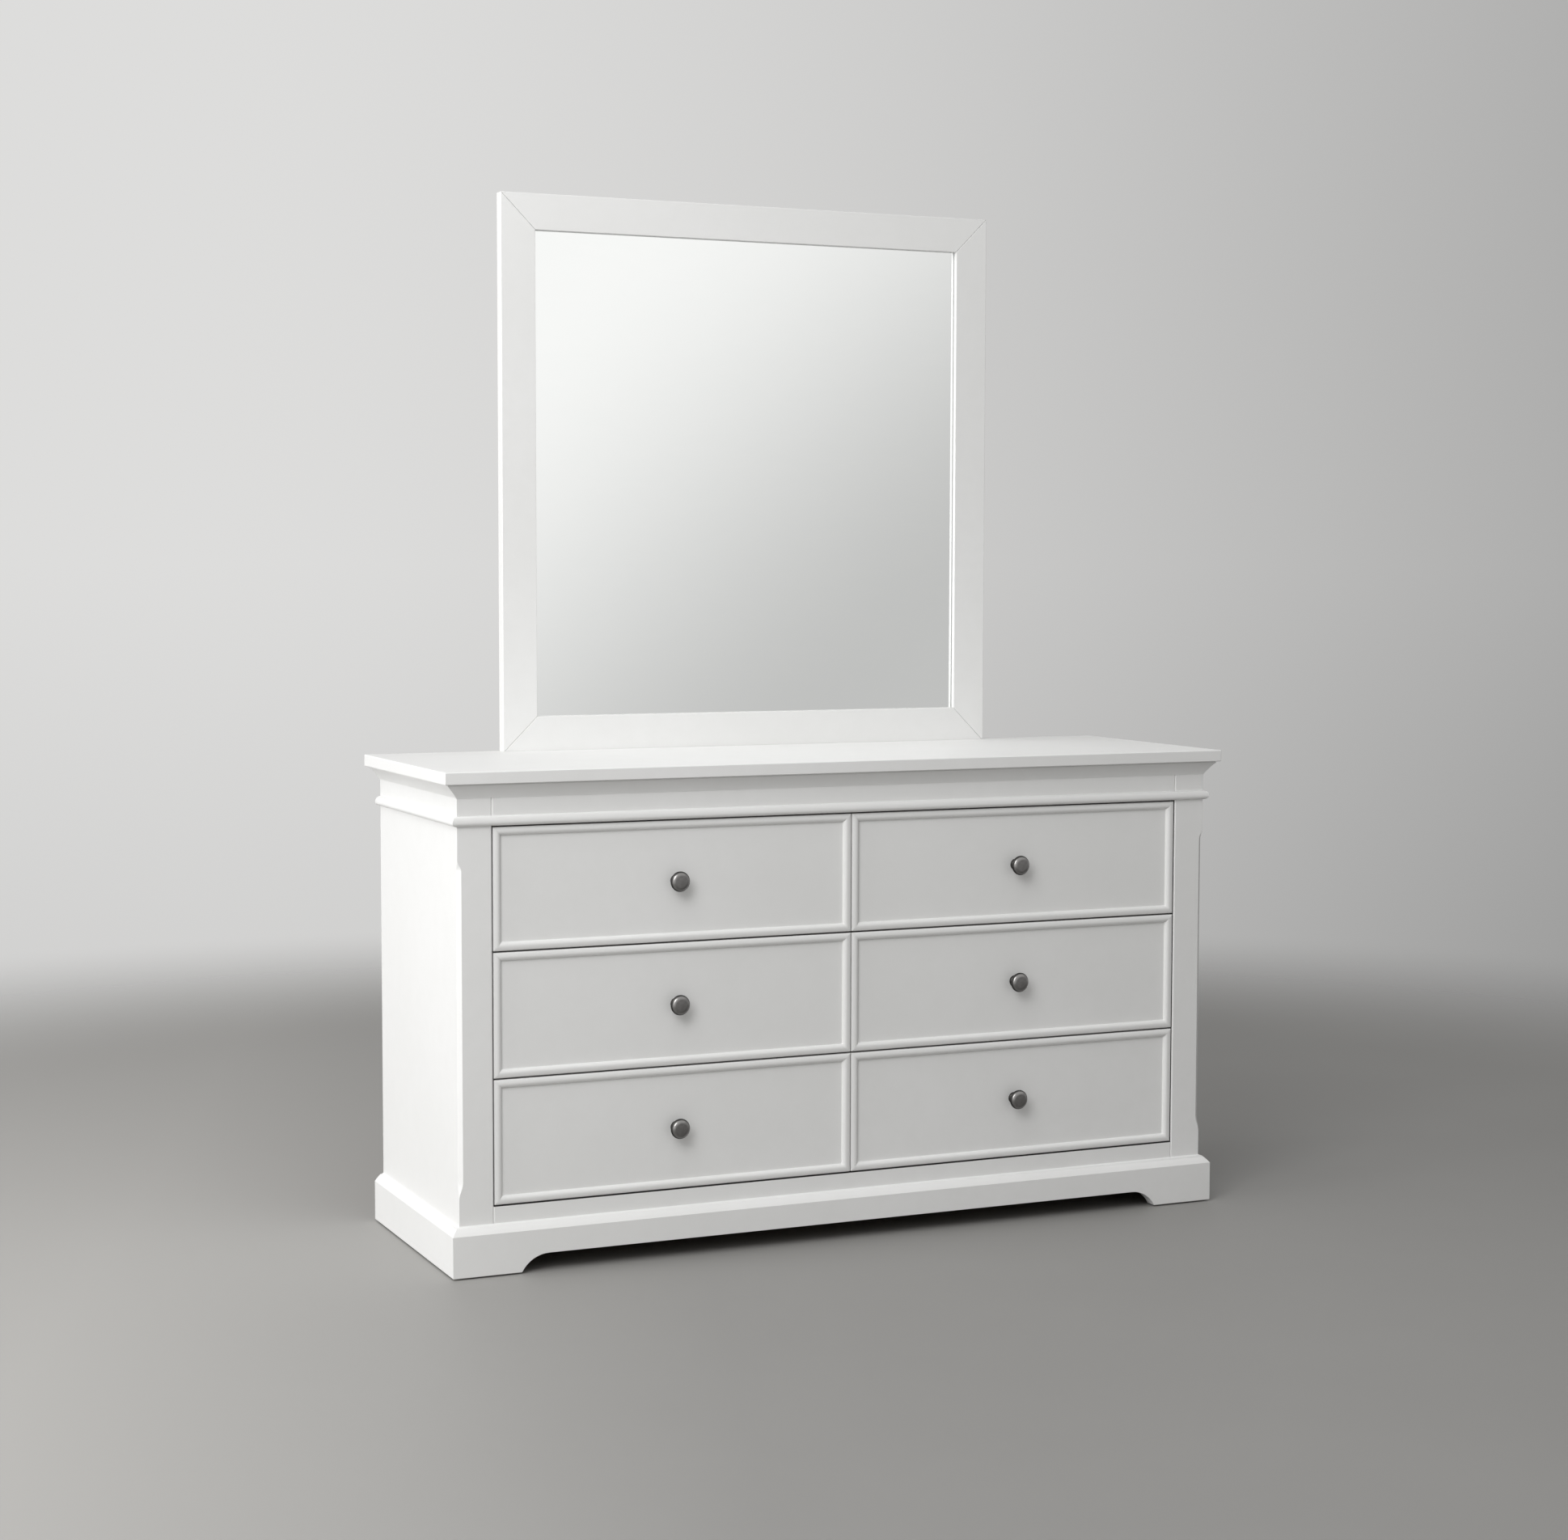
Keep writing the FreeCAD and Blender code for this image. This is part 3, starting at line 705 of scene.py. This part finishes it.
def finish_piece(piece, material, body, stands_for=()):
    """Normals for the light, the material, the body it rides on and the nodes it stands for."""
    select_only(piece)
    bpy.ops.object.shade_smooth_by_angle(angle=smooth_turn)
    weigh = piece.modifiers.new("even_light", "WEIGHTED_NORMAL")
    weigh.keep_sharp = True
    bpy.ops.object.modifier_apply(modifier=weigh.name)
    coat(piece, material)
    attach(piece, body)
    if stands_for:
        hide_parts(*stands_for)
    return piece


def dressed(name, nodes, body, width, keep=(), meets=None, joints=(), material=paint,
            boards=None):
    """A piece made from CAD nodes with its arrises softened by width, painted where nothing else is said.

    keep holds planes whose arrises stay sharp, and a second list of planes picks the faces darkened as
    painted shade; meets tells the faces of a mitre, and boards is a seed for bare boards' grain.
    """
    piece = copy_of(name, *nodes)
    if meets:
        open_joints(piece, meets)
    make_whole(piece)
    soften(piece, width, keep)
    mark_arrises(piece)
    mark_painted_shade(piece, joints)
    if boards is not None:
        mark_boards(piece, boards)
    return finish_piece(piece, material, body, nodes)


# ---------------------------------------------------------------- cabinet
post_low, post_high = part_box("front_post_right")
post_inner = post_low.x
post_back = post_high.y
rail_ends = [("x", post_inner), ("x", -post_inner)]


def on_mitre(low, corner):
    """Whether a face is one of the mitres that lead in from a front corner of a wrapped moulding."""
    across = Vector((corner.x, corner.y)) - low

    def meets(centre, normal):
        if abs(normal.z) > square_reach:
            return False
        side = 1 if centre.x > 0 else -1
        offset = Vector((side * centre.x, centre.y)) - low
        apart = abs(offset.x * across.y - offset.y * across.x) / across.length
        facing = abs(side * normal.x * across.x + normal.y * across.y) / across.length
        return apart < mitre_reach and facing < square_reach

    return meets


def wrapped(name, node, section):
    """A moulding round the front and sides of the cabinet; its section is (share of projection, rise)."""
    low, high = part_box(node)
    out = Vector((high.x - post_high.x, post_low.y - low.y))
    middle = Vector((0, high.y, low.z))
    half_depth = high.y - post_low.y
    stages = [(post_high.x + share * out.x, half_depth + share * out.y, rise)
              for share, rise in section(high.z - low.z)]
    piece = ring_moulding(name, middle, "up", stages)
    with on_the_bench(piece, "FACE", "SELECT"):
        bpy.ops.mesh.bisect(plane_co=middle, plane_no=(0, 1, 0), use_fill=True, clear_outer=True)
    mark_arrises(piece)
    return finish_piece(piece, paint, "carcass", [node])


def cove_section(height):
    """A small ledge at the foot, a shallow hollow, an upright lip and a fine quirk under the top board."""
    climb = height - cove_lip - cove_foot
    section = [(0.0, 0.0), (cove_ledge, 0.0), (cove_ledge, cove_foot)]
    for step in range(1, cove_steps + 1):
        along = step / cove_steps
        hollow = cove_hollow * math.sin(math.pi * along)
        share = cove_ledge + (1 - cove_ledge) * along - hollow
        section.append((share, cove_foot + climb * along + hollow * cove_hollow_lift))
    quirk = height - cove_quirk
    return section + [(1.0, quirk), (cove_quirk_face, quirk), (cove_quirk_face, height), (0.0, height)]


def nosing_section(height):
    """A rounded nose, fuller above than below."""
    nose = height * nosing_nose
    section = []
    for step in range(nosing_lower_steps + 1):
        turn = quarter(step, nosing_lower_steps)
        section.append((math.sin(turn) ** nosing_fullness, nose * (1 - math.cos(turn))))
    for step in range(1, nosing_upper_steps + 1):
        turn = quarter(step, nosing_upper_steps)
        share = max(math.cos(turn), 0.0) ** nosing_fullness
        section.append((share, nose + (height - nose) * math.sin(turn)))
    return section


dressed("top", ["top_board"], "carcass", fine_arris)
wrapped("cove_moulding", "crown_moulding", cove_section)
wrapped("nosing_moulding", "bead_moulding", nosing_section)
plinth_low, plinth_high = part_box("plinth_front")
side_low, side_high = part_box("plinth_right")
# the plinth's inside faces are darkened as painted shade
plinth_inside = planes(("y", plinth_high.y), ("x", side_low.x), ("x", -side_low.x))
plinth_mitre = on_mitre(Vector((post_high.x, post_low.y)), Vector((side_high.x, plinth_low.y)))
dressed("plinth", ["plinth_front", "plinth_left", "plinth_right"], "carcass", worn_arris, meets=plinth_mitre,
        joints=plinth_inside)
# each rail's edge face towards the drawers and the posts' inner faces are darkened as painted shade
for rail, edge in (("frieze_rail", 0), ("bottom_rail", 1)):
    dressed(rail + "_painted", [rail], "carcass", fine_arris, planes(*rail_ends),
            joints=planes(("z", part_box(rail)[edge].z)))
for side in COLUMNS:
    seam = planes(("y", post_back), *rail_ends)
    dressed("post_" + side, ["front_post_" + side], "carcass", worn_arris, seam, joints=planes(*rail_ends))
    dressed("side_" + side, ["side_panel_" + side], "carcass", worn_arris, seam)
# the plinth back's inner face is darkened as painted shade
dressed("plinth_back_painted", ["plinth_back"], "carcass", worn_arris,
        joints=planes(("y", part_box("plinth_back")[0].y)))

for node, axis in (("back_rails", "X"), ("web_rails", "X"), ("drawer_runners", "Y"), ("drawer_guides", "Y"),
                   ("centre_partition", "Z"), ("glue_blocks", "X"), ("backboard_fillets", "X")):
    coat(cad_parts[node], wood_along[axis])
for node in ("back_panel", "mirror_backboard"):
    coat(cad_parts[node], hardboard)
dressed("floor_pads", ["floor_glides"], "carcass", fine_arris, material=pad)

# ---------------------------------------------------------------- mirror
glass_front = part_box("mirror_glass")[0].y
for node in ("mirror_stile_left", "mirror_stile_right", "mirror_rail_top", "mirror_rail_bottom"):
    member = copy_of(node + "_painted", node)
    make_whole(member)
    if "rail" in node:
        low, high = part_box(node)
        with on_the_bench(member, picked="SELECT"):
            bpy.ops.transform.resize(value=(1 - 2 * mitre_gap / (high.x - low.x), 1, 1),
                                     center_override=(low + high) / 2)
    with on_the_bench(member, "VERT") as mesh:
        for vert in mesh.verts:
            vert.select_set(abs(vert.co.y - glass_front) < plane_reach)
        bpy.ops.transform.translate(value=(0, -glass_shadow, 0))
    soften(member, mitre_arris, planes(("y", glass_front - glass_shadow)))
    mark_arrises(member)
    finish_piece(member, paint, "carcass", [node])
coat(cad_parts["mirror_glass"], silvering)

batten_low, batten_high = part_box("mirror_supports")
battens = copy_of("mirror_battens", "mirror_supports")
make_whole(battens)
soften(battens, worn_arris)
batten_middle = batten_high.x - batten_width / 2
screw_places = [Vector((side * batten_middle, batten_high.y, batten_low.z + rise))
                for side in (-1, 1) for rise in batten_screw_rises]
for place in screw_places:
    cone = start_from(bpy.ops.mesh.primitive_cone_add, "countersink", vertices=screw_sides, radius1=0.0,
                      radius2=countersink, depth=countersink, rotation=(-math.pi / 2, 0, 0),
                      location=place - Vector((0, countersink_lift, 0)))
    cut_out(battens, cone)
mark_arrises(battens)
mark_boards(battens, batten_seed)
finish_piece(battens, board_wood, "carcass", ["mirror_supports"])
sunk_head = crosshead("sunk_head", sunk_head_rings)
set_screws("batten_screws", sunk_head, screw_places, "carcass")
bpy.data.objects.remove(sunk_head)

# ---------------------------------------------------------------- drawers
knob_head = knob_back + arc(*knob_rim, knob_rim_turns) + arc(*knob_dome, knob_dome_turns) + knob_middle


def mark_turning(piece, axis_point):
    """Records each point's place from the axis point, and about the axis: distance out, turn and depth."""
    places = []
    rings = []
    for vert in piece.data.vertices:
        offset = vert.co - axis_point
        turn = math.atan2(offset.z, offset.x) * ring_metres_per_radian
        places.extend(offset)
        rings.extend((math.hypot(offset.x, offset.z), turn, offset.y))
    for name, numbers in (("turned", places), ("ring", rings)):
        mark = piece.data.attributes.new(name, "FLOAT_VECTOR", "POINT")
        mark.data.foreach_set("vector", numbers)


def mitred_bead(name, low, high):
    """A drawer's moulding: a low step at its outer edge, a swell to the crest and a fall to the panel."""
    height = high.y - low.y
    crest = bead_width / 2
    ease = bead_arris * bead_arris_ease
    section = [(0.0, 0.0), (0.0, bead_edge - bead_arris), (ease, bead_edge - ease)]
    for step in range(1, bead_swell_steps + 1):
        inward = bead_arris + (crest - bead_arris) * step / bead_swell_steps
        section.append((inward, height - (height - bead_edge) * (1 - inward / crest) ** 2))
    for step in range(1, bead_fall_steps + 1):
        turn = quarter(step, bead_fall_steps)
        section.append((crest + crest * math.sin(turn), height * max(math.cos(turn), 0.0) ** bead_fall))
    wide = (high.x - low.x) / 2
    tall = (high.z - low.z) / 2
    middle = Vector(((low.x + high.x) / 2, high.y, (low.z + high.z) / 2))
    stages = [(wide - inward, tall - inward, rise) for inward, rise in section]
    return ring_moulding(name, middle, "front", stages)


def score_mitres(piece, low, high):
    """Sinks a fine line where two lengths of the moulding meet at each corner."""
    def on_line(point):
        across = min(point.x - low.x, high.x - point.x) - min(point.z - low.z, high.z - point.z)
        return abs(across) < plane_reach and point.y < high.y - plane_reach

    with on_the_bench(piece) as mesh:
        for edge in mesh.edges:
            edge.select_set(all(on_line(v.co) for v in edge.verts))
        bpy.ops.mesh.bevel(offset=mitre_line, segments=2, profile=0.5, affect="EDGES", clamp_overlap=True)
    with on_the_bench(piece, "VERT") as mesh:
        for vert in mesh.verts:
            vert.select_set(on_line(vert.co))
        bpy.ops.transform.shrink_fatten(value=-mitre_line)


pan_head = crosshead("pan_head", pan_head_rings)
for number, drawer in enumerate(DRAWERS):
    bead_low, bead_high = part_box(drawer + "_bead")
    seam = planes(("y", bead_high.y))
    # the slab's bottom face and the moulding's underside are darkened as painted shade in the gap between
    # rows
    slab = dressed(drawer + "_slab", [drawer + "_front"], drawer, joint_arris, seam,
                   joints=planes(("z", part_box(drawer + "_front")[0].z)))
    with on_the_bench(slab, picked="SELECT"):
        bpy.ops.transform.resize(value=(1, 1, 1 - 2 * row_relief / (bead_high.z - bead_low.z)),
                                 center_override=(bead_low + bead_high) / 2)
    bead_low.z += row_relief
    bead_high.z -= row_relief
    moulding = mitred_bead(drawer + "_moulding", bead_low, bead_high)
    score_mitres(moulding, bead_low, bead_high)
    mark_arrises(moulding)
    mark_painted_shade(moulding, planes(("z", bead_low.z)))
    finish_piece(moulding, paint, drawer, [drawer + "_bead"])
    dressed(drawer + "_case", [drawer + "_box"], drawer, fine_arris, material=board_wood,
            boards=box_seed + number)
    coat(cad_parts[drawer + "_bottom"], wood_along["X"])
    knob_low, knob_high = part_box(drawer + "_knob")
    foot = Vector(((knob_low.x + knob_high.x) / 2, knob_high.y, (knob_low.z + knob_high.z) / 2))
    knob = turned(drawer + "_turned_knob", foot, knob_foot + knob_neck + knob_head, -1, knob_sides)
    mark_turning(knob, Vector((foot.x, knob_low.y, foot.z)))
    finish_piece(knob, knob_metal, drawer, [drawer + "_knob"])
    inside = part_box(drawer + "_box")[0].y + box_front_thickness
    places = [Vector((foot.x + x, inside, foot.z)) for x in box_screw_places]
    set_screws(drawer + "_screws", pan_head, places, drawer)
bpy.data.objects.remove(pan_head)


# ---------------------------------------------------------------- studio
def matt_floor():
    """Pale matt floor, made lighter towards the left and back as painted light, that thins out into the
    backdrop well away from the object.
    """
    mix = Finish("studio_floor")
    place = mix.place()
    cloud = mix.noise(place, 0.9, 4.0, 0.6)
    base = mix.blend(cloud, floor_dark, floor_pale)
    across, backward, _ = mix.parts(place)
    # painted light: the floor is lighter towards the left, and a little towards the back
    base = mix.blend(mix.spread(backward * 0.35 - across, 0.2, 1.3), base, floor_painted_light)
    away = mix.node("VectorMath", {"operation": "LENGTH"}, {0: place}, output="Value")
    gone = mix.spread(away, floor_fade_start, floor_fade_end, eased=True)
    matt = mix.node("BsdfPrincipled", None, {"Base Color": base, "Roughness": 0.55})
    clear = mix.node("BsdfTransparent")
    both = mix.node("MixShader", None, {0: gone, 1: matt, 2: clear})
    mix.node("OutputMaterial", None, {"Surface": both})
    return mix.made


def studio_air():
    """Even light from all round, and a room and a wall for the eye, the glass and the metal to see; the wall
    is painted darker to the right as painted shade.
    """
    air = Finish("studio", bpy.data.worlds)
    across, backward, upward = air.parts(air.node("TexCoord", output="Generated"))
    camera_ray = air.node("LightPath", output="Is Camera Ray")
    glossy_ray = air.node("LightPath", output="Is Glossy Ray")
    clear_ray = air.node("LightPath", output="Is Transmission Ray")
    seen = air.clamped(camera_ray + glossy_ray + clear_ray)
    room = air.spread(across * -4.2 + upward * 3.96 + 2.0, 0.0, 1.0, room_dim, room_bright, eased=True)
    # painted shade: the wall darkens towards the right; it also darkens towards its foot
    wall_shading = air.spread(across, 0.2, 1.0, wall_bright, wall_painted_shade, eased=True)
    wall = wall_shading + air.spread(upward, -0.20, 0.0, -wall_foot_fall, 0.0)
    shown = air.between(air.spread(backward, -0.02, 0.02), room, wall)
    ambient = air.spread(upward, -1.0, 1.0, ambient_below, ambient_above)
    level = air.between(seen, ambient, shown)
    sky = air.node("Background", None, {"Color": (*air_warm, 1), "Strength": level})
    air.node("OutputWorld", None, {"Surface": sky})
    return air.made


floor = start_from(bpy.ops.mesh.primitive_circle_add, "studio_floor", vertices=floor_sides,
                   radius=floor_reach, fill_type="NGON", location=(0, 0, 0))
coat(floor, matt_floor())
bpy.context.scene.world = studio_air()


def lamp(name, place, aim, width, height, power, mirrored=False):
    """A soft rectangular lamp; only a mirrored one shows in the glass and the metal."""
    light = bpy.data.lights.new(name, "AREA")
    light.shape = "RECTANGLE"
    light.size = width
    light.size_y = height
    light.energy = power
    made = bpy.data.objects.new(name, light)
    bpy.context.scene.collection.objects.link(made)
    made.location = place
    made.rotation_euler = (Vector(aim) - Vector(place)).to_track_quat("-Z", "Y").to_euler()
    made.visible_glossy = mirrored


lamp("side_light", (-4.4, 0.0, 1.3), (0.0, 0.0, 0.8), 2.0, 2.0, 83)
lamp("top_light", (-1.0, -0.8, 3.6), (-0.1, 0.0, 0.8), 2.4, 2.4, 27)
lamp("high_light", (-2.8, -2.8, 3.4), (0.0, 0.0, 0.8), 2.2, 2.2, 80, mirrored=True)
lamp("key_light", (-3.4, -3.0, 2.2), (-0.1, -0.2, 0.6), 1.1, 2.6, 24, mirrored=True)

camera_data = bpy.data.cameras.new("camera")
camera_data.sensor_width = 36
camera_data.lens = camera_lens
camera = bpy.data.objects.new("camera", camera_data)
bpy.context.scene.collection.objects.link(camera)
camera.location = camera_place
camera.rotation_euler = [math.radians(angle) for angle in (90 - camera_dip, camera_roll, camera_heading)]
bpy.context.scene.camera = camera
bpy.context.scene.view_settings.view_transform = "Standard"
